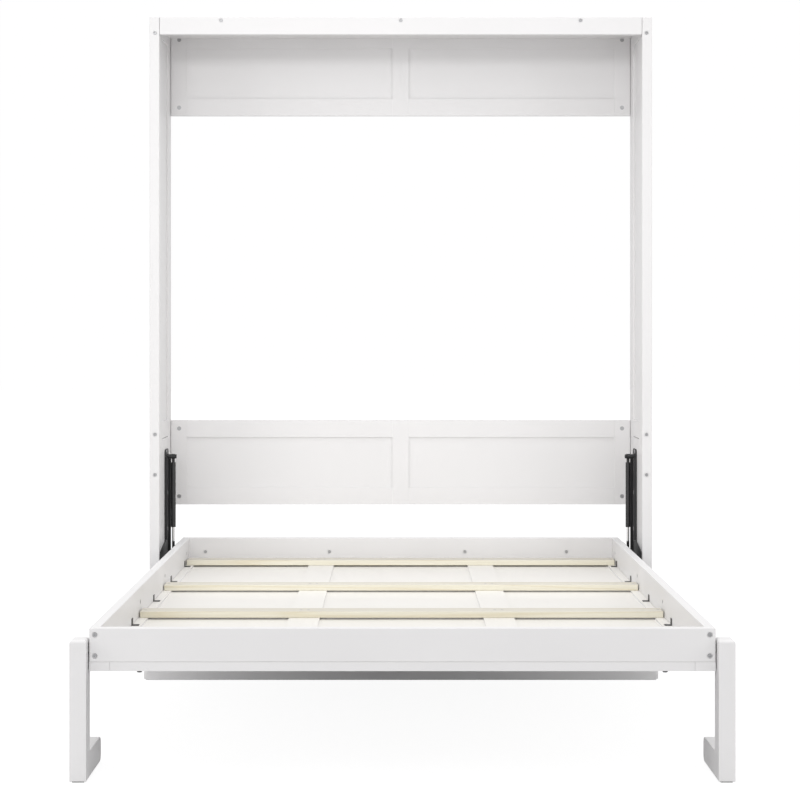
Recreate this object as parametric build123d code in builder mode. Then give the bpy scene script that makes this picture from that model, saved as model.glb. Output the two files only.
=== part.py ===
from build123d import *
import os

# A queen-size fold-down wall bed, open and standing on its legs.
# +X is to the right, +Y towards the wall, +Z up. The origin is on the floor, midway across the
# width and midway along the overall depth.

# ---------------------------------------------------------------- driving dimensions, mm
bed_width = 1590
bed_length = 2085
rail_thickness = 25
rail_bottom = 300
rail_top = 386
door_bottom = 277
side_stile_width = 52
inner_stile_centre = 285
inner_stile_width = 90
door_end_rail = 90
door_mid_rail = 40
infill_thickness = 9
infill_recess = 5
slat_width = 70
slat_thickness = 19
slat_starts = {"foot": 27, "second": 728, "third": 1300, "head": 1950}
slat_end_gap = 4

cabinet_width = 1753
cabinet_height = 2236
cabinet_depth = 342
cabinet_setback = 1774
post_width = 34
post_depth = 90
header_height = 61.5
top_thickness = 25
back_thickness = 18
back_panel_height = 308
back_panel_bottoms = {"upper": 1928, "lower": 505}
back_stile = 59
back_rail = 62
back_recess = 5
end_groove_width = 2.5
end_groove_depth = 6
side_panel_recess = 6
side_panel_thickness = 12
mid_rail_low, mid_rail_high = 760, 819
mechanism_low, mechanism_high = 250, 758
bottom_rail_height = 90

runner_height = 60
runner_width = 38.5
floor_board_start = 1360
floor_board_thickness = 18
floor_board_half = 834.6
floor_bolt_height = 38

leg_lead = 29
leg_thickness = 42
leg_depth = 59
leg_top = 359.5
leg_top_rounding = 8
leg_foot_length = 180
leg_foot_height = 68
leg_foot_rounding = 18
leg_gap = 3
leg_pivot_from_foot = 14
leg_pivot_z = 332
leg_bolt_radius = 5
leg_bolt_grip = 55
leg_bolt_head_radius = 9
leg_bolt_head_height = 5
leg_bolt_sink = 6
washer_radius = 12
glide_thickness = 3
glide_margin = 6
rear_glide_length = 48
rear_glide_from_end = 22

pivot_behind_front = 56
pivot_z = 330
crank_back = 118
crank_up = 10
stud_z = 691
strut_x = 814
plate_thickness = 4
plate_front = 15
plate_column = 145
plate_back = 235
plate_bottom = 276
plate_shoulder_front = 368
plate_shoulder_column = 390
plate_top = 717
plate_top_rounding = 18
plate_bottom_rounding = 10
plate_lip = 7
plate_lip_span = (395, 690)
plate_flange = 8.5
plate_flange_span = (300, 695)
stud_radius = 5
stud_boss_radius = 8
stud_boss_gap = 0.5
stud_cap_radius = 7.5
stud_cap_thickness = 3.5
stud_cap_gap = 1.5
pin_radius = 8
pin_length = 15
pin_collar_radius = 14
pin_well_radius = 12
pin_well_depth = 12
bush_radius = 11
bush_flange_radius = 16
bush_flange = 2
arm_plate = (1740, 1992)
arm_plate_z = (304, 382)
arm_rounding = 14
arm_stub_gap = 3.5

tube_radius = 8.5
tube_bore = 7
tube_top = 670
tube_bottom = 438
tube_wall = 6
tube_end_rounding = 1.5
guide_height = 12
rod_radius = 4.5
rod_bottom = 388
rod_top = 640
piston_height = 12
eye_radius = 9
eye_thickness = 12
neck_radius = 5

post_bolt_from_edge = 19
post_bolt_heights = (2179.5, 779, 638, 290, 45)
header_bolt_x = 627
corner_bolt_from_end = 14.5
corner_bolt_heights = (315.5, 369)
head_bolt_x = (-711, -259, 234, 604)
head_bolt_height = 336
rail_bolt_places = (770, 1352, 1970)
rail_bolt_height = 341
arm_bolt_places = (1765, 1880, 1975)
arm_bolt_height = 343
plate_bolt_spots = ((174, 708), (174, 672), (200, 560), (200, 430), (200, 300), (105, 298))
bolt_radius = 3.5
bolt_head_radius = 7
bolt_head_height = 1.4
bolt_socket_radius = 3.2
sunk_head_radius = 5.2
sunk_head_height = 2.6
counterbore_radius = 7.2
counterbore_depth = 3
post_bolt_length = 120
short_bolt_length = 70
stub_bolt_length = 16
plate_bolt_length = 30
arm_bolt_length = 20
cam_x = 811
cam_edge = 30
cam_radius = 7.5
cam_depth = 12
cam_clearance = 0.5
cam_slot = (2.2, 11, 3)
screw_pair_offset = 11
screw_from_rail = 15
screw_head_radius = 4.5
screw_head_height = 2.5
screw_radius = 2
screw_length = 34
bracket_places = (150, 592, 1066, 1512, 1915)
bracket_arm = 20
bracket_sheet = 1.8
stud_bay = 406.4
wall_angle_rows = (20, 52)
wall_screw_radius = 2.5

edge_ease = 2
joint_gap = 0.2
door_seam = 0.6
header_gap = 0.9
running_gap = 0.05

# ---------------------------------------------------------------- derived places
overall_depth = leg_lead + cabinet_setback + cabinet_depth
foot_y = leg_lead - overall_depth / 2
head_y = foot_y + bed_length
front_y = foot_y + cabinet_setback
back_y = front_y + cabinet_depth
back_face_y = back_y - back_thickness
half_bed = bed_width / 2
half_inside = cabinet_width / 2 - post_width
rail_inside = half_bed - rail_thickness
pivot_y = front_y + pivot_behind_front
crank_y = pivot_y + crank_back
crank_z = pivot_z + crank_up
plate_face = half_inside - plate_thickness
leg_inside = half_bed + leg_gap
leg_outside = leg_inside + leg_thickness
leg_pivot_y = foot_y + leg_pivot_from_foot
sides = {"left": -1, "right": 1}

os.makedirs("parts", exist_ok=True)


# ---------------------------------------------------------------- shared helpers
def save(piece, label):
    """Names the finished piece and writes it."""
    piece.part.label = label
    export_step(piece.part, f"parts/{label}.step")


def across(sign, inner, outer):
    """The X range between two distances from the middle, on the side that sign names."""
    return tuple(sorted((sign * inner, sign * outer)))


def block(x, y, z, mode=Mode.ADD):
    """A box over the x, y and z ranges, added to the part being built or cut from it."""
    with Locations(((x[0] + x[1]) / 2, (y[0] + y[1]) / 2, (z[0] + z[1]) / 2)):
        Box(x[1] - x[0], y[1] - y[0], z[1] - z[0], mode=mode)


def drill(places, radius, depth):
    """Round holes that start at each place and run against its own Z direction."""
    with Locations(*places):
        Cylinder(
            radius,
            depth,
            align=(Align.CENTER, Align.CENTER, Align.MAX),
            mode=Mode.SUBTRACT,
        )


def facing_front(x, y, z):
    """A place on a face that looks towards the foot of the bed."""
    return Location((x, y, z), (90, 0, 0))


def facing_side(sign, x, y, z):
    """A place on a face that looks along +X or -X."""
    return Location((x, y, z), (0, sign * 90, 0))


# ---------------------------------------------------------------- fastener places
post_bolt_x = cabinet_width / 2 - post_bolt_from_edge
post_bolts = {
    side: [facing_front(sign * post_bolt_x, front_y, z) for z in post_bolt_heights]
    for side, sign in sides.items()
}
header_bolts = [
    facing_front(x, front_y, cabinet_height - top_thickness / 2)
    for x in (-header_bolt_x, 0, header_bolt_x)
]
floor_bolt_x = half_inside - runner_width / 2
floor_bolts = [
    facing_front(sign * floor_bolt_x, foot_y + floor_board_start, floor_bolt_height)
    for sign in sides.values()
]
corner_bolts = [
    facing_front(sign * (half_bed - corner_bolt_from_end), foot_y, z)
    for sign in sides.values()
    for z in corner_bolt_heights
]
head_bolts = [
    facing_front(x, head_y - rail_thickness, head_bolt_height) for x in head_bolt_x
]
rail_bolts = {
    side: [
        facing_side(-sign, sign * rail_inside, foot_y + y, rail_bolt_height)
        for y in rail_bolt_places
    ]
    for side, sign in sides.items()
}
plate_bolts = {
    side: [facing_side(-sign, sign * plate_face, front_y + y, z) for y, z in plate_bolt_spots]
    for side, sign in sides.items()
}
arm_bolts = {
    side: [
        facing_side(sign, sign * (half_bed + plate_thickness), foot_y + y, arm_bolt_height)
        for y in arm_bolt_places
    ]
    for side, sign in sides.items()
}
bolt_hole = bolt_radius + running_gap
cam_heights = [
    bottom + edge
    for bottom in back_panel_bottoms.values()
    for edge in (cam_edge, back_panel_height - cam_edge)
]
cam_places = [
    facing_front(sign * cam_x, back_face_y, z)
    for sign in sides.values()
    for z in cam_heights
]
screw_columns = [
    sign * x
    for sign in sides.values()
    for x in (
        inner_stile_centre - screw_pair_offset,
        inner_stile_centre + screw_pair_offset,
        rail_inside - screw_from_rail,
    )
]
screw_rows = [foot_y + start + slat_width / 2 for start in slat_starts.values()]
slat_top = rail_bottom + slat_thickness
wall_angle_x = 1.5 * stud_bay
wall_screw_places = [
    Location((sign * wall_angle_x, back_face_y - row, cabinet_height))
    for sign in sides.values()
    for row in wall_angle_rows
]


def sink_bolts(places, depth):
    """Bolt holes of that depth, each with a counterbore that takes a sunk head."""
    drill(places, bolt_hole, depth)
    drill(places, counterbore_radius, counterbore_depth)


# ---------------------------------------------------------------- cabinet: sides
def cabinet_side(side, sign):
    """Front and rear posts, the rails and board between them, and the thin panels they hold."""
    thickness = across(sign, half_inside, cabinet_width / 2)
    with BuildPart() as front_post:
        block(thickness, (front_y, front_y + post_depth), (0, cabinet_height))
        fillet(front_post.edges(), edge_ease)
        sink_bolts(post_bolts[side], post_depth)
    save(front_post, f"front_post_{side}")

    with BuildPart() as rear_post:
        block(thickness, (back_y - post_depth, back_y), (0, cabinet_height))
        fillet(rear_post.edges(), edge_ease)
    save(rear_post, f"rear_post_{side}")

    between = (front_y + post_depth, back_y - post_depth)
    with BuildPart() as rails:
        for low, high in (
            (0, bottom_rail_height),
            (mid_rail_low, mid_rail_high),
            (cabinet_height - header_height, cabinet_height),
        ):
            block(thickness, between, (low, high))
        drill(post_bolts[side], bolt_hole, post_bolt_length)
    save(rails, f"side_rails_{side}")

    with BuildPart() as board:
        block(thickness, between, (mechanism_low, mechanism_high))
        drill(post_bolts[side], bolt_hole, post_bolt_length)
        drill(plate_bolts[side], bolt_hole, plate_bolt_length)
    save(board, f"mechanism_board_{side}")

    panel_start = half_inside + side_panel_recess
    panel = across(sign, panel_start, panel_start + side_panel_thickness)
    with BuildPart() as panels:
        for low, high in (
            (bottom_rail_height, mechanism_low),
            (mid_rail_high, cabinet_height - header_height),
        ):
            block(panel, between, (low, high))
    save(panels, f"side_panels_{side}")


# ---------------------------------------------------------------- cabinet: top, back and base
def cabinet_top():
    """The header across the front and the board behind it, with holes for two wall angles."""
    width = (-half_inside, half_inside)
    header_back = front_y + rail_thickness
    header_end = half_inside - header_gap
    with BuildPart() as header:
        block(
            (-header_end, header_end),
            (front_y, header_back),
            (cabinet_height - header_height, cabinet_height),
        )
        fillet(header.edges(), edge_ease)
        sink_bolts(header_bolts, rail_thickness)
    save(header, "top_front_rail")

    with BuildPart() as top:
        block(width, (header_back, back_face_y), (cabinet_height - top_thickness, cabinet_height))
        drill(header_bolts, bolt_hole, short_bolt_length)
        drill(wall_screw_places, wall_screw_radius, top_thickness)
    save(top, "top_board")


def back_panel(level, bottom):
    """A cross panel at the wall side: two rails and three stiles around two sunk infills."""
    top = bottom + back_panel_height
    depth = (back_face_y, back_y)
    window = half_inside - back_stile
    with BuildPart() as frame:
        for low, high in (
            (-half_inside, -window),
            (-back_stile / 2, back_stile / 2),
            (window, half_inside),
        ):
            block((low, high), depth, (bottom, top))
        groove_depth = (back_face_y, back_face_y + end_groove_depth)
        for sign in sides.values():
            groove = across(sign, half_inside - end_groove_width, half_inside)
            block(groove, groove_depth, (bottom, top), mode=Mode.SUBTRACT)
        for sign in sides.values():
            for low, high in ((bottom, bottom + back_rail), (top - back_rail, top)):
                rail = across(sign, back_stile / 2 + joint_gap, window - joint_gap)
                block(rail, depth, (low, high))
        drill(cam_places, cam_radius + running_gap, cam_depth)
    save(frame, f"{level}_back_frame")

    with BuildPart() as infills:
        for sign in sides.values():
            block(
                across(sign, back_stile / 2, window),
                (back_face_y + back_recess, back_y - back_recess),
                (bottom + back_rail, top - back_rail),
            )
    save(infills, f"{level}_back_infills")


def floor_base():
    """Runners along the foot of each side, tied in front by a low board on the floor."""
    board_y = foot_y + floor_board_start
    board_back = board_y + floor_board_thickness
    for side, sign in sides.items():
        with BuildPart() as runner:
            block(
                across(sign, half_inside - runner_width, half_inside),
                (board_back, back_face_y),
                (0, runner_height),
            )
            fillet(runner.edges(), edge_ease)
            drill(floor_bolts, bolt_hole, short_bolt_length)
        save(runner, f"floor_runner_{side}")

    with BuildPart() as board:
        block((-floor_board_half, floor_board_half), (board_y, board_back), (0, runner_height))
        fillet(board.edges(), edge_ease)
        drill(floor_bolts, bolt_hole, floor_board_thickness)
    save(board, "floor_front_board")


# ---------------------------------------------------------------- bed: rails
def bed_rails():
    """The four upright rails that stand on the door and hold the mattress in."""
    height = (rail_bottom, rail_top)
    pivots = [
        facing_side(sign, sign * half_bed, leg_pivot_y, leg_pivot_z) for sign in sides.values()
    ]
    with BuildPart() as foot_rail:
        block((-half_bed, half_bed), (foot_y, foot_y + rail_thickness), height)
        fillet(foot_rail.edges(), edge_ease)
        sink_bolts(corner_bolts, rail_thickness)
        drill(pivots, leg_bolt_radius, leg_bolt_grip)
    save(foot_rail, "foot_rail")

    with BuildPart() as head_rail:
        block((-half_bed, half_bed), (head_y - rail_thickness, head_y), height)
        fillet(head_rail.edges(), edge_ease)
        sink_bolts(head_bolts, stub_bolt_length)
    save(head_rail, "head_rail")

    for side, sign in sides.items():
        pivot = facing_side(sign, sign * half_bed, pivot_y, pivot_z)
        with BuildPart() as rail:
            block(
                across(sign, rail_inside, half_bed),
                (foot_y + rail_thickness, head_y - rail_thickness),
                height,
            )
            fillet(rail.edges(), edge_ease)
            drill(corner_bolts, bolt_hole, short_bolt_length)
            sink_bolts(rail_bolts[side], stub_bolt_length)
            drill(arm_bolts[side], bolt_hole, arm_bolt_length)
            drill([pivot], pin_well_radius, pin_well_depth)
        save(rail, f"side_rail_{side}")


# ---------------------------------------------------------------- bed: door under the slats
def door():
    """The framed underside, which is the cabinet's front when the bed is up."""
    depth = (door_bottom, rail_bottom)
    stile_inside = half_bed - side_stile_width
    inner_low = inner_stile_centre - inner_stile_width / 2
    inner_high = inner_stile_centre + inner_stile_width / 2
    screw_places = [Location((x, y, rail_bottom)) for x in screw_columns for y in screw_rows]
    screw_depth = screw_length - slat_thickness + 1
    with BuildPart() as stiles:
        for sign in sides.values():
            block(across(sign, stile_inside, half_bed), (foot_y, head_y), depth)
            block(
                across(sign, inner_low, inner_high),
                (foot_y + door_end_rail, head_y - door_end_rail),
                depth,
            )
        drill(screw_places, screw_radius + running_gap, screw_depth)
    save(stiles, "door_stiles")

    columns = (
        (-stile_inside, -inner_high),
        (-inner_low, inner_low),
        (inner_high, stile_inside),
    )
    mids = [foot_y + slat_starts[name] + slat_width / 2 for name in ("second", "third")]
    with BuildPart() as rails:
        rail_end = stile_inside - door_seam
        for end in (foot_y, head_y - door_end_rail):
            block((-rail_end, rail_end), (end, end + door_end_rail), depth)
        for column in columns:
            for mid in mids:
                block(column, (mid - door_mid_rail / 2, mid + door_mid_rail / 2), depth)
        drill(screw_places, screw_radius + running_gap, screw_depth)
    save(rails, "door_rails")

    rows = (
        (foot_y + door_end_rail, mids[0] - door_mid_rail / 2),
        (mids[0] + door_mid_rail / 2, mids[1] - door_mid_rail / 2),
        (mids[1] + door_mid_rail / 2, head_y - door_end_rail),
    )
    infill_top = rail_bottom - infill_recess
    with BuildPart() as infills:
        for column in columns:
            for row in rows:
                block(column, row, (infill_top - infill_thickness, infill_top))
    save(infills, "door_infills")


def slats():
    """Four pine slats, screwed down into the door's stiles."""
    slat_end = rail_inside - slat_end_gap
    for name, start in slat_starts.items():
        y = foot_y + start
        places = [Location((x, y + slat_width / 2, slat_top)) for x in screw_columns]
        with BuildPart() as slat:
            block((-slat_end, slat_end), (y, y + slat_width), (rail_bottom, slat_top))
            fillet(slat.edges().filter_by(Axis.X), edge_ease)
            drill(places, screw_radius + running_gap, slat_thickness)
            drill(places, screw_head_radius + running_gap, screw_head_height)
        save(slat, f"slat_{name}")

    with BuildPart() as screws:
        with Locations(*[Location((x, y, slat_top)) for x in screw_columns for y in screw_rows]):
            Cylinder(screw_radius, screw_length, align=(Align.CENTER, Align.CENTER, Align.MAX))
            Cylinder(
                screw_head_radius,
                screw_head_height,
                align=(Align.CENTER, Align.CENTER, Align.MAX),
            )
    save(screws, "slat_screws")


def angle_brackets():
    """Small steel angles that tie the side rails down to the door."""
    half_arm = bracket_arm / 2
    with BuildPart() as brackets:
        for sign in sides.values():
            for along in bracket_places:
                y = (foot_y + along - half_arm, foot_y + along + half_arm)
                upright = across(sign, rail_inside - bracket_sheet, rail_inside)
                block(upright, y, (rail_bottom, rail_bottom + bracket_arm))
                flat = across(sign, rail_inside - bracket_arm, rail_inside)
                block(flat, y, (rail_bottom, rail_bottom + bracket_sheet))
    save(brackets, "angle_brackets")


# ---------------------------------------------------------------- legs
def leg(side, sign):
    """A swinging leg: an upright, the long foot behind it, glides, and the bolt it turns on."""
    thickness = across(sign, leg_inside, leg_outside)
    front = foot_y - leg_lead
    back = front + leg_depth
    outer_face = facing_side(sign, sign * leg_outside, leg_pivot_y, leg_pivot_z)
    with BuildPart() as upright:
        block(thickness, (front, back), (glide_thickness, leg_top))
        fillet(upright.faces().sort_by(Axis.Z)[-1].edges(), leg_top_rounding)
        fillet(upright.edges().filter_by(GeomType.LINE).group_by(Axis.Z)[0], edge_ease)
        drill([outer_face], leg_bolt_radius + running_gap, leg_thickness)
        drill([outer_face], leg_bolt_head_radius + running_gap, leg_bolt_sink)
    save(upright, f"leg_{side}")

    with BuildPart() as foot:
        block(thickness, (back, back + leg_foot_length), (glide_thickness, leg_foot_height))
        fillet(foot.edges().filter_by(Axis.X).group_by(Axis.Y)[-1], leg_foot_rounding)
        fillet(foot.edges().filter_by(GeomType.LINE).filter_by(Axis.Y), edge_ease)
    save(foot, f"leg_foot_{side}")

    pad = across(sign, leg_inside + glide_margin, leg_outside - glide_margin)
    rear = back + leg_foot_length - rear_glide_from_end
    with BuildPart() as glides:
        block(pad, (front + glide_margin, back - glide_margin), (0, glide_thickness))
        block(pad, (rear - rear_glide_length, rear), (0, glide_thickness))
    save(glides, f"leg_glides_{side}")

    head_seat = facing_side(sign, sign * (leg_outside - leg_bolt_sink), leg_pivot_y, leg_pivot_z)
    with BuildPart() as bolt:
        with Locations(head_seat):
            Cylinder(
                leg_bolt_radius,
                leg_thickness - leg_bolt_sink + leg_gap + leg_bolt_grip,
                align=(Align.CENTER, Align.CENTER, Align.MAX),
            )
            Cylinder(
                leg_bolt_head_radius,
                leg_bolt_head_height,
                align=(Align.CENTER, Align.CENTER, Align.MIN),
            )
    save(bolt, f"leg_bolt_{side}")


def leg_washers():
    """The nylon washer between each leg and the end of the foot rail."""
    with BuildPart() as washers:
        for sign in sides.values():
            place = facing_side(sign, sign * half_bed, leg_pivot_y, leg_pivot_z)
            with Locations(place):
                Cylinder(
                    washer_radius, leg_gap, align=(Align.CENTER, Align.CENTER, Align.MIN)
                )
                Cylinder(
                    leg_bolt_radius + running_gap,
                    leg_gap,
                    align=(Align.CENTER, Align.CENTER, Align.MIN),
                    mode=Mode.SUBTRACT,
                )
    save(washers, "leg_washers")


# ---------------------------------------------------------------- pivots
def pivot_side(side, sign):
    """The steel hinge at one side of the cabinet, from its plate to the arm on the bed rail."""
    column_y = front_y + plate_column
    back_edge_y = front_y + plate_back
    boss_length = plate_face - strut_x - eye_thickness / 2 - stud_boss_gap
    stud_length = plate_face - strut_x + eye_thickness / 2 + stud_cap_gap
    with BuildPart() as plate:
        with BuildSketch(Plane.YZ.offset(sign * half_inside)):
            with BuildLine():
                Polyline(
                    (column_y, plate_top),
                    (column_y, plate_shoulder_column),
                    (front_y + plate_front, plate_shoulder_front),
                    (front_y + plate_front, plate_bottom),
                    (back_edge_y, plate_bottom),
                    (back_edge_y, plate_top),
                    close=True,
                )
            make_face()
        extrude(amount=-sign * plate_thickness)
        corners = plate.edges().filter_by(Axis.X)
        fillet(corners.group_by(Axis.Z)[-1], plate_top_rounding)
        fillet(corners.group_by(Axis.Z)[0], plate_bottom_rounding)
        drill(plate_bolts[side], bolt_hole, plate_thickness)
        block(
            across(sign, plate_face - plate_lip, plate_face),
            (column_y, column_y + plate_thickness),
            plate_lip_span,
        )
        block(
            across(sign, plate_face - plate_flange, plate_face),
            (back_edge_y - plate_thickness, back_edge_y),
            plate_flange_span,
        )
        with Locations(facing_side(-sign, sign * plate_face, crank_y, stud_z)):
            Cylinder(
                stud_boss_radius, boss_length, align=(Align.CENTER, Align.CENTER, Align.MIN)
            )
            Cylinder(stud_radius, stud_length, align=(Align.CENTER, Align.CENTER, Align.MIN))
        with Locations(
            facing_side(-sign, sign * (plate_face - stud_length), crank_y, stud_z)
        ):
            Cylinder(
                stud_cap_radius,
                stud_cap_thickness,
                align=(Align.CENTER, Align.CENTER, Align.MIN),
            )
    save(plate, f"pivot_plate_{side}")

    collar_start = half_bed + plate_thickness + bush_flange
    collar = facing_side(sign, sign * collar_start, pivot_y, pivot_z)
    with BuildPart() as pin:
        with Locations(collar):
            Cylinder(
                pin_collar_radius,
                plate_face - collar_start,
                align=(Align.CENTER, Align.CENTER, Align.MIN),
            )
            Cylinder(pin_radius, pin_length, align=(Align.CENTER, Align.CENTER, Align.MAX))
    save(pin, f"pivot_pin_{side}")

    rail_face = facing_side(sign, sign * half_bed, pivot_y, pivot_z)
    with BuildPart() as bush:
        with Locations(rail_face):
            Cylinder(bush_radius, plate_thickness, align=(Align.CENTER, Align.CENTER, Align.MIN))
        with Locations(facing_side(sign, sign * (half_bed + plate_thickness), pivot_y, pivot_z)):
            Cylinder(
                bush_flange_radius, bush_flange, align=(Align.CENTER, Align.CENTER, Align.MIN)
            )
        with Locations(rail_face):
            Cylinder(
                pin_radius + running_gap,
                plate_thickness + bush_flange,
                align=(Align.CENTER, Align.CENTER, Align.MIN),
                mode=Mode.SUBTRACT,
            )
    save(bush, f"pivot_bush_{side}")

    with BuildPart() as arm:
        block(
            across(sign, half_bed, half_bed + plate_thickness),
            (foot_y + arm_plate[0], foot_y + arm_plate[1]),
            arm_plate_z,
        )
        fillet(arm.edges().filter_by(Axis.X), arm_rounding)
        drill(arm_bolts[side], bolt_hole, plate_thickness)
        with Locations(rail_face):
            Cylinder(
                bush_radius,
                plate_thickness,
                align=(Align.CENTER, Align.CENTER, Align.MIN),
                mode=Mode.SUBTRACT,
            )
        with Locations(facing_side(sign, sign * (half_bed + plate_thickness), crank_y, crank_z)):
            Cylinder(
                stud_radius,
                strut_x - eye_thickness / 2 - arm_stub_gap - half_bed - plate_thickness,
                align=(Align.CENTER, Align.CENTER, Align.MIN),
            )
    save(arm, f"bed_arm_{side}")


# ---------------------------------------------------------------- gas struts
def strut_eye(side, sign, label, centre_z, neck_end):
    """An eye on a round neck that reaches from its centre to neck_end."""
    with BuildPart() as eye:
        with Locations(Location((sign * strut_x, crank_y, centre_z), (0, 90, 0))):
            Cylinder(eye_radius, eye_thickness)
        with Locations((sign * strut_x, crank_y, (centre_z + neck_end) / 2)):
            Cylinder(neck_radius, abs(neck_end - centre_z))
        with Locations(Location((sign * strut_x, crank_y, centre_z), (0, 90, 0))):
            Cylinder(stud_radius + running_gap, 2 * eye_thickness, mode=Mode.SUBTRACT)
    save(eye, f"{label}_{side}")


def gas_strut(side, sign):
    """One gas strut, upright beside the bed: tube on the cabinet's stud, rod to the bed's arm."""
    with BuildPart() as tube:
        with Locations((sign * strut_x, crank_y, (tube_bottom + tube_top) / 2)):
            Cylinder(tube_radius, tube_top - tube_bottom)
        fillet(tube.edges().filter_by(GeomType.CIRCLE), tube_end_rounding)
        bore_bottom = tube_bottom + guide_height
        with Locations((sign * strut_x, crank_y, bore_bottom)):
            Cylinder(
                tube_bore,
                tube_top - tube_wall - bore_bottom,
                align=(Align.CENTER, Align.CENTER, Align.MIN),
                mode=Mode.SUBTRACT,
            )
            Cylinder(rod_radius + running_gap, 2 * guide_height, mode=Mode.SUBTRACT)
    save(tube, f"strut_tube_{side}")

    with BuildPart() as rod:
        with Locations((sign * strut_x, crank_y, (rod_bottom + rod_top) / 2)):
            Cylinder(rod_radius, rod_top - rod_bottom)
        with Locations((sign * strut_x, crank_y, rod_top - piston_height / 2)):
            Cylinder(tube_bore - running_gap, piston_height)
    save(rod, f"strut_rod_{side}")

    strut_eye(side, sign, "strut_tube_eye", stud_z, tube_top)
    strut_eye(side, sign, "strut_rod_eye", crank_z, rod_bottom)


# ---------------------------------------------------------------- bolts and cams
def bolts(label, groups):
    """Socket-head bolts; each group gives its places, the shanks' length, and if heads are sunk."""
    with BuildPart() as group:
        for places, length, sunk in groups:
            seats = [place * Location((0, 0, -counterbore_depth if sunk else 0)) for place in places]
            radius = sunk_head_radius if sunk else bolt_head_radius
            height = sunk_head_height if sunk else bolt_head_height
            shank = length - counterbore_depth if sunk else length
            with Locations(*seats):
                Cylinder(bolt_radius, shank, align=(Align.CENTER, Align.CENTER, Align.MAX))
                Cylinder(radius, height, align=(Align.CENTER, Align.CENTER, Align.MIN))
            with BuildSketch(*[Plane(seat) for seat in seats]):
                RegularPolygon(bolt_socket_radius, 6)
            extrude(amount=height, mode=Mode.SUBTRACT)
    save(group, label)


def cam_locks():
    """Cams sunk in the back panels' corners, which draw the panels to the rear posts."""
    with BuildPart() as cams:
        with Locations(*cam_places):
            Cylinder(
                cam_radius,
                cam_depth - cam_clearance,
                align=(Align.CENTER, Align.CENTER, Align.MAX),
            )
            Box(
                *cam_slot,
                align=(Align.CENTER, Align.CENTER, Align.MAX),
                mode=Mode.SUBTRACT,
            )
    save(cams, "cam_locks")


# ---------------------------------------------------------------- build
for side, sign in sides.items():
    cabinet_side(side, sign)
    leg(side, sign)
    pivot_side(side, sign)
    gas_strut(side, sign)
cabinet_top()
for level, bottom in back_panel_bottoms.items():
    back_panel(level, bottom)
floor_base()
bed_rails()
door()
slats()
angle_brackets()
leg_washers()
bolts(
    "cabinet_bolts",
    [
        (post_bolts["left"] + post_bolts["right"], post_bolt_length, True),
        (header_bolts, short_bolt_length, True),
        (floor_bolts, short_bolt_length, False),
        (plate_bolts["left"] + plate_bolts["right"], plate_bolt_length, False),
    ],
)
bolts(
    "bed_bolts",
    [
        (corner_bolts, short_bolt_length, True),
        (head_bolts + rail_bolts["left"] + rail_bolts["right"], stub_bolt_length, True),
        (arm_bolts["left"] + arm_bolts["right"], arm_bolt_length, False),
    ],
)
cam_locks()
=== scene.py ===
"""A white queen-size wall bed, open, in a plain pale studio."""
import math

import bmesh
import bpy
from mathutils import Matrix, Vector


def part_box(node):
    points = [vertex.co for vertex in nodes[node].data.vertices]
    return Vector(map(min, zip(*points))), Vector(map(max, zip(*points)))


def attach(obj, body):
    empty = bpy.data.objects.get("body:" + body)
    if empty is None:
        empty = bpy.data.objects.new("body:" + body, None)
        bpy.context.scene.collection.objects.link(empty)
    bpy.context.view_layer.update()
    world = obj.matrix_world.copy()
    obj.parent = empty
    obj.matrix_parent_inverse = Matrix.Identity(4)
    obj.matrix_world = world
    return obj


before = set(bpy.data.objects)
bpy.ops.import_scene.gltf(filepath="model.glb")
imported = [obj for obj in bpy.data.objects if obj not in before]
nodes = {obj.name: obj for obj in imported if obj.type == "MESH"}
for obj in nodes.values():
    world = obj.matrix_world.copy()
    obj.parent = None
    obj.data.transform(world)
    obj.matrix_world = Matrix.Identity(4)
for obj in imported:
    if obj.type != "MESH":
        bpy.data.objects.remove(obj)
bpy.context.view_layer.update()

# ---------------------------------------------------------------- camera and studio, metres
CAMERA_HEIGHT = 1.140
CAMERA_BACK = 4.732
CAMERA_SIDE = -0.015
CAMERA_LENS = 83.925
CAMERA_SHIFT = (0.0044, -0.08625)
CAMERA_REACH = 100
FLOOR_HALF = 30
FLOOR_SQUARES = 8
BOUNCE_DROP = 0.001
DOME_RADIUS = 40
DOME_SUBDIVISIONS = 4

# the floor that is seen, the one that light bounces from, and the dome: (grey, glow)
SEEN_FLOOR = (0.12, 0.92)
BOUNCE_FLOOR = (0.68, 0.0)
DOME = (0.0, 1.0)
STAGE_ROUGHNESS = 0.9
STAGE_GLOSS = 0.1
SKY_STRENGTH = 0.88

# soft lights: where each one is, what it faces, its width and height, and its power in watts
KEY_RISE = 0.38
KEY_FRONT = -1.7
KEY_AIM_HEIGHT = 1.3
KEY_SIZE = (2.4, 0.3)
KEY_POWER = 2
LIGHTS = {
    "front": ((-2.2, -12.0, 4.0), (0, -0.2, 1.0), (4.0, 1.6), 205),
    "side": ((-5.0, -2.6, 2.6), (0, -0.2, 0.9), (2.2, 2.2), 44),
    "fill": ((5.0, -2.6, 2.6), (0, -0.2, 0.9), (2.2, 2.2), 36),
    "cabinet": ((0, 0.1, 1.25), (0, 1.0, 1.25), (1.5, 1.7), 2.7),
    "overhead": ((0, 0.0, 6.0), (0, -0.2, 0), (3.0, 3.0), 108),
}


# ---------------------------------------------------------------- colours and textures
WHITE = (0.715, 0.706, 0.709)
LINING = (0.745, 0.728, 0.698)
BLACK_COATING = (0.017, 0.017, 0.018)
STRUT_BLACK = (0.021, 0.021, 0.022)
ROD_STEEL = (0.80, 0.80, 0.82)
ZINC = (0.44, 0.44, 0.45)
GREY_NYLON = (0.16, 0.16, 0.16)
# dark grey felt glides; their darkness also paints the contact shade under each leg
GREY_FELT_AND_SHADE = (0.15, 0.148, 0.145)
BLACK_RUBBER = (0.018, 0.018, 0.018)
PLAIN = (1.0, 1.0, 1.0)

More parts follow.
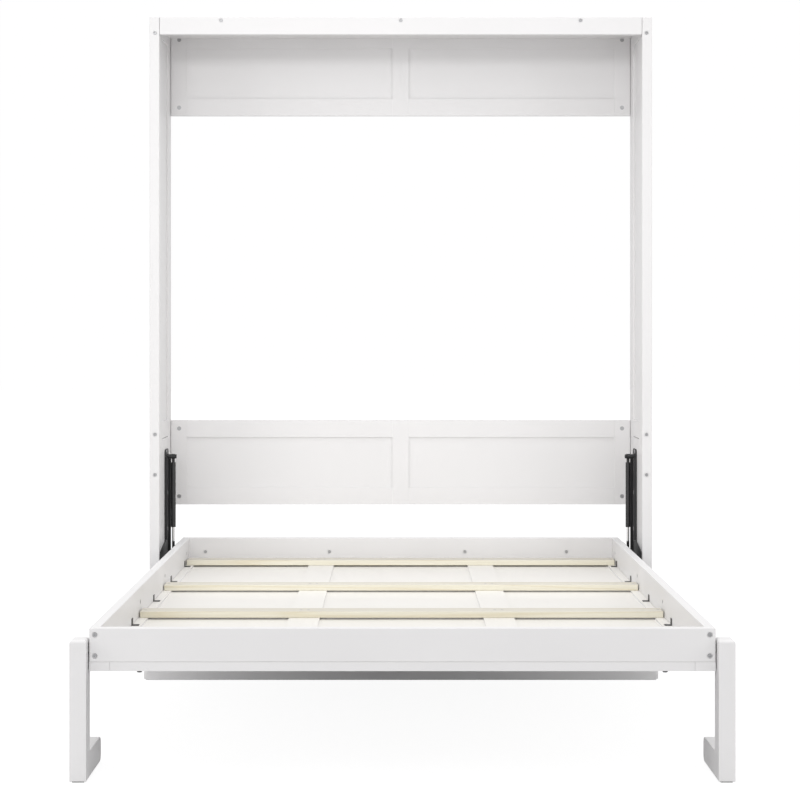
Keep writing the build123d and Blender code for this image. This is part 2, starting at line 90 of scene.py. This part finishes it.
# bare pine: tones by position in the noise, thin dark bands of late wood near the middle
PINE_TONES = [
    (0.30, (0.735, 0.70, 0.575)),
    (0.46, (0.765, 0.735, 0.62)),
    (0.52, (0.70, 0.645, 0.50)),
    (0.56, (0.755, 0.72, 0.60)),
    (0.75, (0.775, 0.75, 0.65)),
]
PINE_FIBRES = [(0.35, (0.93, 0.92, 0.90)), (0.6, PLAIN)]
# painted shade: this tone greys and darkens the slats' upward faces
PINE_TOP_SHADE = (0.80, 0.80, 0.85)

# ramp positions over noise, and the shares by which each surface darkens and lightens there
MOTTLE_START = 0.3
MOTTLE_MIDDLE = 0.5
MOTTLE_END = 0.7
PAINT_MOTTLE = (-0.018, 0.012)
COATING_MOTTLE = (-0.15, 0.2)
METAL_MOTTLE = (-0.08, 0)
MOULD_MOTTLE = (-0.05, 0)
FELT_MOTTLE = (-0.35, 0.4)

# ramp positions between which a face counts as turning upward
UPWARD_START = 0.4
UPWARD_END = 0.8

# noise scales, in waves per metre; grain is (along the board, across it)
PAINT_GRAIN = (1.5, 70.0)
PAINT_CLOUD = 2.2
PAINT_PEEL = 900.0
PINE_BANDS = (0.35, 22.0)
PINE_GRAIN = (4.0, 420.0)
PEBBLE = 1400.0
COATING_CLOUD = 12.0
MOULD_SPARK = 1100.0
FELT_FIBRE = 700.0
ROD_MARKS = (600.0, 600.0, 60.0)
ZINC_MARKS = (260.0, 260.0, 260.0)

# bumps: (strength, depth in metres)
PAINT_GRAIN_BUMP = (0.12, 0.0006)
PAINT_PEEL_BUMP = (0.05, 0.0003)
PINE_BUMP = (0.25, 0.0004)
PEBBLE_BUMP = (0.2, 0.0003)
METAL_BUMP = (0.08, 0.0002)
MOULD_BUMP = (0.15, 0.0002)
FELT_BUMP = (0.8, 0.0008)

# roughness from low to high, and gloss as the shader's specular level
PAINT_ROUGHNESS = (0.34, 0.46)
PAINT_GLOSS = 0.45
PINE_ROUGHNESS = (0.48, 0.66)
COATING_ROUGHNESS = (0.38, 0.52)
COATING_GLOSS = 0.4
STRUT_ROUGHNESS = (0.22, 0.30)
STRUT_GLOSS = 0.5
ROD_ROUGHNESS = (0.10, 0.22)
ZINC_ROUGHNESS = (0.34, 0.50)
MOULD_ROUGHNESS = (0.42, 0.58)
FELT_ROUGHNESS = 0.95
FELT_SHEEN = 0.3

# each material's own seed, which moves its noise so that no two boards look alike
SEEDS = {
    "paint_upright": 1.0,
    "paint_panel": 5.0,
    "paint_crosswise": 9.0,
    "paint_lengthwise": 13.0,
    "paint_door_stiles": 17.0,
    "paint_door_rails": 21.0,
    "paint_door_infills": 25.0,
    "pine_foot": 2.0,
    "pine_second": 7.3,
    "pine_third": 12.6,
    "pine_head": 17.9,
    "black_powder_coat": 3.0,
    "black_strut_paint": 7.0,
    "ground_rod": 4.0,
    "zinc_plate": 6.0,
    "grey_nylon": 8.0,
    "grey_felt_and_shade": 11.0,
    "black_rubber": 14.0,
}
# how far one unit of seed moves the noise along X, Y and Z
SEED_SHIFT = (1.0, 0.7, 1.3)
BANDS_SHIFT = (1.0, 1.7, 0.4)
CLOUD_SEED_STEP = 3

ALONG = {"x": 0, "y": 1, "z": 2}


# ---------------------------------------------------------------- node helpers
def new_material(name):
    """A material with its node tree emptied but for the output and one shader."""
    material = bpy.data.materials.new(name)
    material.use_nodes = True
    tree = material.node_tree
    tree.nodes.clear()
    output = tree.nodes.new("ShaderNodeOutputMaterial")
    shader = tree.nodes.new("ShaderNodeBsdfPrincipled")
    tree.links.new(shader.outputs["BSDF"], output.inputs["Surface"])
    return material, tree, shader


def add(tree, kind, **values):
    """A node of that kind, with the given properties and input values set."""
    node = tree.nodes.new("ShaderNode" + kind)
    for key, value in values.items():
        if key in node.inputs:
            node.inputs[key].default_value = value
        else:
            setattr(node, key, value)
    return node


def stretched_noise(
    tree, scale, seed, detail=4.0, roughness=0.55, distortion=0.0, seed_shift=SEED_SHIFT
):
    """Noise in object space, squeezed by scale along X, Y and Z; seed moves it elsewhere."""
    place = add(tree, "TexCoord")
    shift = add(tree, "Mapping")
    shift.inputs["Scale"].default_value = scale
    shift.inputs["Location"].default_value = tuple(seed * share for share in seed_shift)
    noise = add(
        tree, "TexNoise", Scale=1.0, Detail=detail, Roughness=roughness, Distortion=distortion
    )
    tree.links.new(place.outputs["Object"], shift.inputs["Vector"])
    tree.links.new(shift.outputs["Vector"], noise.inputs["Vector"])
    return noise.outputs["Fac"]


def ramp(tree, source, stops):
    """A colour ramp over source; stops are (position, colour)."""
    node = tree.nodes.new("ShaderNodeValToRGB")
    elements = node.color_ramp.elements
    while len(elements) > 1:
        elements.remove(elements[-1])
    elements[0].position, elements[0].color = stops[0][0], (*stops[0][1], 1)
    for position, colour in stops[1:]:
        elements.new(position).color = (*colour, 1)
    tree.links.new(source, node.inputs["Fac"])
    return node.outputs["Color"]


def to_range(tree, source, limits):
    """Source, from 0 to 1, mapped to the range between the two limits."""
    low, high = limits
    node = tree.nodes.new("ShaderNodeMapRange")
    node.inputs["To Min"].default_value = low
    node.inputs["To Max"].default_value = high
    tree.links.new(source, node.inputs["Value"])
    return node.outputs["Result"]


def bump(tree, height, strength_and_depth, normal=None):
    """A bump node over height; normal is another bump to build on."""
    strength, depth = strength_and_depth
    node = tree.nodes.new("ShaderNodeBump")
    node.inputs["Strength"].default_value = strength
    node.inputs["Distance"].default_value = depth
    tree.links.new(height, node.inputs["Height"])
    if normal is not None:
        tree.links.new(normal, node.inputs["Normal"])
    return node.outputs["Normal"]


def upward_tone(tree, tone):
    """The tone on faces that look up and plain white on the rest, by the mesh's own normals."""
    place = add(tree, "TexCoord")
    split = add(tree, "SeparateXYZ")
    tree.links.new(place.outputs["Normal"], split.inputs["Vector"])
    return ramp(tree, split.outputs["Z"], [(UPWARD_START, PLAIN), (UPWARD_END, tone)])


def multiply(tree, colour, factor):
    """One colour multiplied by another."""
    mix = add(tree, "Mix", data_type="RGBA", blend_type="MULTIPLY")
    mix.inputs["Factor"].default_value = 1.0
    tree.links.new(colour, mix.inputs["A"])
    tree.links.new(factor, mix.inputs["B"])
    return mix.outputs["Result"]


def tinted(colour, share):
    """The colour, lighter or darker by a share."""
    return tuple(min(1.0, c * (1 + share)) for c in colour)


def mottled(tree, source, colour, darker_and_lighter):
    """The colour over source, from its darker tint to its lighter one, given as shares."""
    darker, lighter = darker_and_lighter
    stops = [(MOTTLE_START, tinted(colour, darker)), (MOTTLE_END, tinted(colour, lighter))]
    return ramp(tree, source, stops)


# ---------------------------------------------------------------- materials
def evenly(scale):
    """The same noise scale along X, Y and Z."""
    return (scale, scale, scale)


def grain_scale(axis, along_and_across):
    """Noise scale that is low along the board's own axis and high across it."""
    along, across = along_and_across
    scale = [across, across, across]
    scale[ALONG[axis]] = along
    return tuple(scale)


def painted_wood(name, axis, lining=None):
    """Satin white over timber, with faint grain and mottle; lining is the tone of upward faces."""
    material, tree, shader = new_material(name)
    seed = SEEDS[name]
    grain = stretched_noise(tree, grain_scale(axis, PAINT_GRAIN), seed)
    cloud = stretched_noise(tree, evenly(PAINT_CLOUD), seed + CLOUD_SEED_STEP, detail=2.0)
    peel = stretched_noise(tree, evenly(PAINT_PEEL), seed, detail=2.0)
    darker, lighter = PAINT_MOTTLE
    stops = [
        (MOTTLE_START, tinted(WHITE, darker)),
        (MOTTLE_MIDDLE, WHITE),
        (MOTTLE_END, tinted(WHITE, lighter)),
    ]
    shade = ramp(tree, cloud, stops)
    if lining is not None:
        warm = tuple(inside / outside for inside, outside in zip(lining, WHITE))
        shade = multiply(tree, shade, upward_tone(tree, warm))
    tree.links.new(shade, shader.inputs["Base Color"])
    tree.links.new(to_range(tree, cloud, PAINT_ROUGHNESS), shader.inputs["Roughness"])
    coarse = bump(tree, grain, PAINT_GRAIN_BUMP)
    tree.links.new(bump(tree, peel, PAINT_PEEL_BUMP, coarse), shader.inputs["Normal"])
    shader.inputs["Specular IOR Level"].default_value = PAINT_GLOSS
    return material


def bare_pine(name, axis):
    """Pine with bands of late wood along the board; upward faces carry a painted shade, greyer and
    darker than the edges.
    """
    material, tree, shader = new_material(name)
    seed = SEEDS[name]
    bands = stretched_noise(
        tree,
        grain_scale(axis, PINE_BANDS),
        seed,
        detail=3.0,
        roughness=0.5,
        distortion=1.2,
        seed_shift=BANDS_SHIFT,
    )
    fibres = stretched_noise(tree, grain_scale(axis, PINE_GRAIN), seed)
    tone = ramp(tree, bands, PINE_TONES)
    grained = multiply(tree, tone, ramp(tree, fibres, PINE_FIBRES))
    # painted shade on the slats' upward faces
    top_shaded = multiply(tree, grained, upward_tone(tree, PINE_TOP_SHADE))
    tree.links.new(top_shaded, shader.inputs["Base Color"])
    tree.links.new(to_range(tree, fibres, PINE_ROUGHNESS), shader.inputs["Roughness"])
    tree.links.new(bump(tree, fibres, PINE_BUMP), shader.inputs["Normal"])
    return material


def powder_coat(name, colour, roughness, gloss):
    """Black coating: a fine pebbled skin, with its own range of roughness and its own gloss."""
    material, tree, shader = new_material(name)
    seed = SEEDS[name]
    pebble = stretched_noise(tree, evenly(PEBBLE), seed, detail=2.0)
    cloud = stretched_noise(tree, evenly(COATING_CLOUD), seed)
    tree.links.new(mottled(tree, cloud, colour, COATING_MOTTLE), shader.inputs["Base Color"])
    tree.links.new(to_range(tree, cloud, roughness), shader.inputs["Roughness"])
    tree.links.new(bump(tree, pebble, PEBBLE_BUMP), shader.inputs["Normal"])
    shader.inputs["Specular IOR Level"].default_value = gloss
    return material


def bright_metal(name, colour, roughness, scale):
    """Plated or ground steel, with fine marks at the given noise scale."""
    material, tree, shader = new_material(name)
    marks = stretched_noise(tree, scale, SEEDS[name], detail=3.0)
    tree.links.new(mottled(tree, marks, colour, METAL_MOTTLE), shader.inputs["Base Color"])
    tree.links.new(to_range(tree, marks, roughness), shader.inputs["Roughness"])
    tree.links.new(bump(tree, marks, METAL_BUMP), shader.inputs["Normal"])
    shader.inputs["Metallic"].default_value = 1.0
    return material


def moulded(name, colour):
    """Moulded nylon or rubber with a light spark-eroded texture."""
    material, tree, shader = new_material(name)
    spark = stretched_noise(tree, evenly(MOULD_SPARK), SEEDS[name], detail=2.0)
    tree.links.new(mottled(tree, spark, colour, MOULD_MOTTLE), shader.inputs["Base Color"])
    tree.links.new(to_range(tree, spark, MOULD_ROUGHNESS), shader.inputs["Roughness"])
    tree.links.new(bump(tree, spark, MOULD_BUMP), shader.inputs["Normal"])
    return material


def felt(name, colour):
    """Dense pressed felt, fuzzy and matt."""
    material, tree, shader = new_material(name)
    fibre = stretched_noise(tree, evenly(FELT_FIBRE), SEEDS[name], detail=6.0, roughness=0.8)
    tree.links.new(mottled(tree, fibre, colour, FELT_MOTTLE), shader.inputs["Base Color"])
    tree.links.new(bump(tree, fibre, FELT_BUMP), shader.inputs["Normal"])
    shader.inputs["Roughness"].default_value = FELT_ROUGHNESS
    shader.inputs["Sheen Weight"].default_value = FELT_SHEEN
    return material


def assign(material, *names):
    """Gives CAD nodes a material in their own slots."""
    for name in names:
        data = nodes[name].data
        data.materials.clear()
        data.materials.append(material)


def sides(*names):
    """Each name for the left and the right."""
    return [f"{name}_{side}" for name in names for side in ("left", "right")]


assign(painted_wood("paint_upright", "z"), *sides("front_post", "rear_post", "leg"))
assign(painted_wood("paint_panel", "z"), *sides("side_panels", "mechanism_board"))
assign(
    painted_wood("paint_crosswise", "x"),
    "top_front_rail",
    "top_board",
    "upper_back_frame",
    "upper_back_infills",
    "lower_back_frame",
    "lower_back_infills",
    "floor_front_board",
    "foot_rail",
    "head_rail",
)
assign(
    painted_wood("paint_lengthwise", "y"),
    *sides("side_rails", "side_rail", "floor_runner", "leg_foot"),
)
assign(painted_wood("paint_door_stiles", "y", LINING), "door_stiles")
assign(painted_wood("paint_door_rails", "x", LINING), "door_rails")
assign(painted_wood("paint_door_infills", "y", LINING), "door_infills")
for slat in ("foot", "second", "third", "head"):
    assign(bare_pine(f"pine_{slat}", "x"), f"slat_{slat}")
assign(
    powder_coat("black_powder_coat", BLACK_COATING, COATING_ROUGHNESS, COATING_GLOSS),
    "angle_brackets",
    *sides("pivot_plate", "bed_arm", "strut_tube_eye", "strut_rod_eye"),
)
assign(
    powder_coat("black_strut_paint", STRUT_BLACK, STRUT_ROUGHNESS, STRUT_GLOSS),
    *sides("strut_tube"),
)
assign(bright_metal("ground_rod", ROD_STEEL, ROD_ROUGHNESS, ROD_MARKS), *sides("strut_rod"))
assign(
    bright_metal("zinc_plate", ZINC, ZINC_ROUGHNESS, ZINC_MARKS),
    "cabinet_bolts",
    "bed_bolts",
    "slat_screws",
    "cam_locks",
    *sides("leg_bolt", "pivot_pin"),
)
assign(moulded("grey_nylon", GREY_NYLON), "leg_washers", *sides("pivot_bush"))
# felt glides under the legs, dark enough to also paint the contact shade there
assign(felt("grey_felt_and_shade", GREY_FELT_AND_SHADE), *sides("leg_glides"))


# ---------------------------------------------------------------- new pieces
BUMPER_RADIUS = 0.007
BUMPER_HEIGHT = 0.0045
BUMPER_X = 0.668
BUMPER_FROM_FOOT = 0.009
TURNS = 32

# a bumper from its tip up to the door: (share of the radius, share of the height below the door)
BUMPER_PROFILE = [(0.45, 1), (0.75, 0.92), (0.93, 0.65), (1, 0.25), (1, 0)]


def turned(name, profile, place, material):
    """A round piece about an upright axis at place, from (radius, height) pairs."""
    mesh = bmesh.new()
    rings = []
    for radius, height in profile:
        ring = []
        for turn in range(TURNS):
            angle = 2 * math.pi * turn / TURNS
            spot = Vector((radius * math.cos(angle), radius * math.sin(angle), height))
            ring.append(mesh.verts.new(place + spot))
        rings.append(ring)
    for lower, upper in zip(rings, rings[1:]):
        for turn in range(TURNS):
            after = (turn + 1) % TURNS
            mesh.faces.new((lower[turn], lower[after], upper[after], upper[turn]))
    mesh.faces.new(list(reversed(rings[0])))
    mesh.faces.new(rings[-1])
    bmesh.ops.recalc_face_normals(mesh, faces=mesh.faces)
    for face in mesh.faces:
        face.smooth = len(face.verts) == 4
    data = bpy.data.meshes.new(name)
    mesh.to_mesh(data)
    mesh.free()
    data.materials.append(material)
    item = bpy.data.objects.new(name, data)
    bpy.context.scene.collection.objects.link(item)
    return item


def door_bumpers():
    """Small domed rubber bumpers under the free edge of the door."""
    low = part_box("door_stiles")[0]
    rubber = moulded("black_rubber", BLACK_RUBBER)
    profile = [(BUMPER_RADIUS * out, -BUMPER_HEIGHT * down) for out, down in BUMPER_PROFILE]
    for side, sign in (("left", -1), ("right", 1)):
        place = Vector((sign * BUMPER_X, low.y + BUMPER_FROM_FOOT, low.z))
        item = turned(f"door_bumper_{side}", profile, place, rubber)
        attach(item, "bed")


door_bumpers()


# ---------------------------------------------------------------- studio
def camera():
    """Level, in front of the foot of the bed, framed by its shift."""
    data = bpy.data.cameras.new("camera")
    data.lens = CAMERA_LENS
    data.shift_x, data.shift_y = CAMERA_SHIFT
    data.clip_end = CAMERA_REACH
    item = bpy.data.objects.new("camera", data)
    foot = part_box("foot_rail")[0].y
    item.location = (CAMERA_SIDE, foot - CAMERA_BACK, CAMERA_HEIGHT)
    item.rotation_euler = (math.radians(90), 0, 0)
    bpy.context.scene.collection.objects.link(item)
    bpy.context.scene.camera = item


def area_light(name, place, aim, size, power):
    """A soft rectangular light at place, turned towards aim."""
    data = bpy.data.lights.new(name, "AREA")
    data.shape = "RECTANGLE"
    data.size, data.size_y = size
    data.energy = power
    item = bpy.data.objects.new(name, data)
    item.location = place
    item.rotation_euler = (Vector(aim) - Vector(place)).to_track_quat("-Z", "Y").to_euler()
    item.visible_camera = False
    bpy.context.scene.collection.objects.link(item)


def stage_material(name, grey_and_glow):
    """Matt and plain, with the given grey and a white glow."""
    grey, glow = grey_and_glow
    material, _, shader = new_material(name)
    shader.inputs["Base Color"].default_value = (grey, grey, grey, 1)
    shader.inputs["Roughness"].default_value = STAGE_ROUGHNESS
    shader.inputs["Specular IOR Level"].default_value = STAGE_GLOSS
    shader.inputs["Emission Color"].default_value = (*PLAIN, 1)
    shader.inputs["Emission Strength"].default_value = glow
    return material


def stage_piece(name, mesh, grey_and_glow):
    """A piece of the studio from a finished bmesh, which it frees."""
    data = bpy.data.meshes.new(name)
    mesh.to_mesh(data)
    mesh.free()
    item = bpy.data.objects.new(name, data)
    bpy.context.scene.collection.objects.link(item)
    data.materials.append(stage_material(name, grey_and_glow))
    return item


def stage_sheet(name, height, grey_and_glow):
    """A wide level sheet of the studio's own at that height."""
    grid = bmesh.new()
    bmesh.ops.create_grid(
        grid, x_segments=FLOOR_SQUARES, y_segments=FLOOR_SQUARES, size=FLOOR_HALF
    )
    for vert in grid.verts:
        vert.co.z = height
    return stage_piece(name, grid, grey_and_glow)


def seen_only(item):
    """The camera sees the item, which neither lights nor shades anything else."""
    item.visible_diffuse = False
    item.visible_glossy = False
    item.visible_transmission = False
    item.visible_shadow = False


def floor():
    """A white floor that the camera sees, over a grey one that the light bounces from."""
    seen_only(stage_sheet("studio_floor", 0, SEEN_FLOOR))
    bounce = stage_sheet("studio_bounce", -BOUNCE_DROP, BOUNCE_FLOOR)
    bounce.visible_camera = False


def backdrop():
    """A white dome round everything, seen by the camera alone."""
    dome = bmesh.new()
    bmesh.ops.create_icosphere(dome, subdivisions=DOME_SUBDIVISIONS, radius=DOME_RADIUS)
    bmesh.ops.reverse_faces(dome, faces=dome.faces)
    seen_only(stage_piece("studio_dome", dome, DOME))


def surroundings():
    """Even white light from all round."""
    world = bpy.data.worlds.new("studio")
    world.use_nodes = True
    background = world.node_tree.nodes["Background"]
    background.inputs["Color"].default_value = (*PLAIN, 1)
    background.inputs["Strength"].default_value = SKY_STRENGTH
    bpy.context.scene.world = world


def lights():
    """A key just above and before the header, and the five lights of the table at the top."""
    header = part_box("top_front_rail")[0]
    place = (0, KEY_FRONT, header.z + KEY_RISE)
    area_light("key", place, (0, header.y, KEY_AIM_HEIGHT), KEY_SIZE, KEY_POWER)
    for name, (place, aim, size, power) in LIGHTS.items():
        area_light(name, place, aim, size, power)


camera()
surroundings()
floor()
backdrop()
lights()
bpy.context.scene.view_settings.view_transform = "Standard"
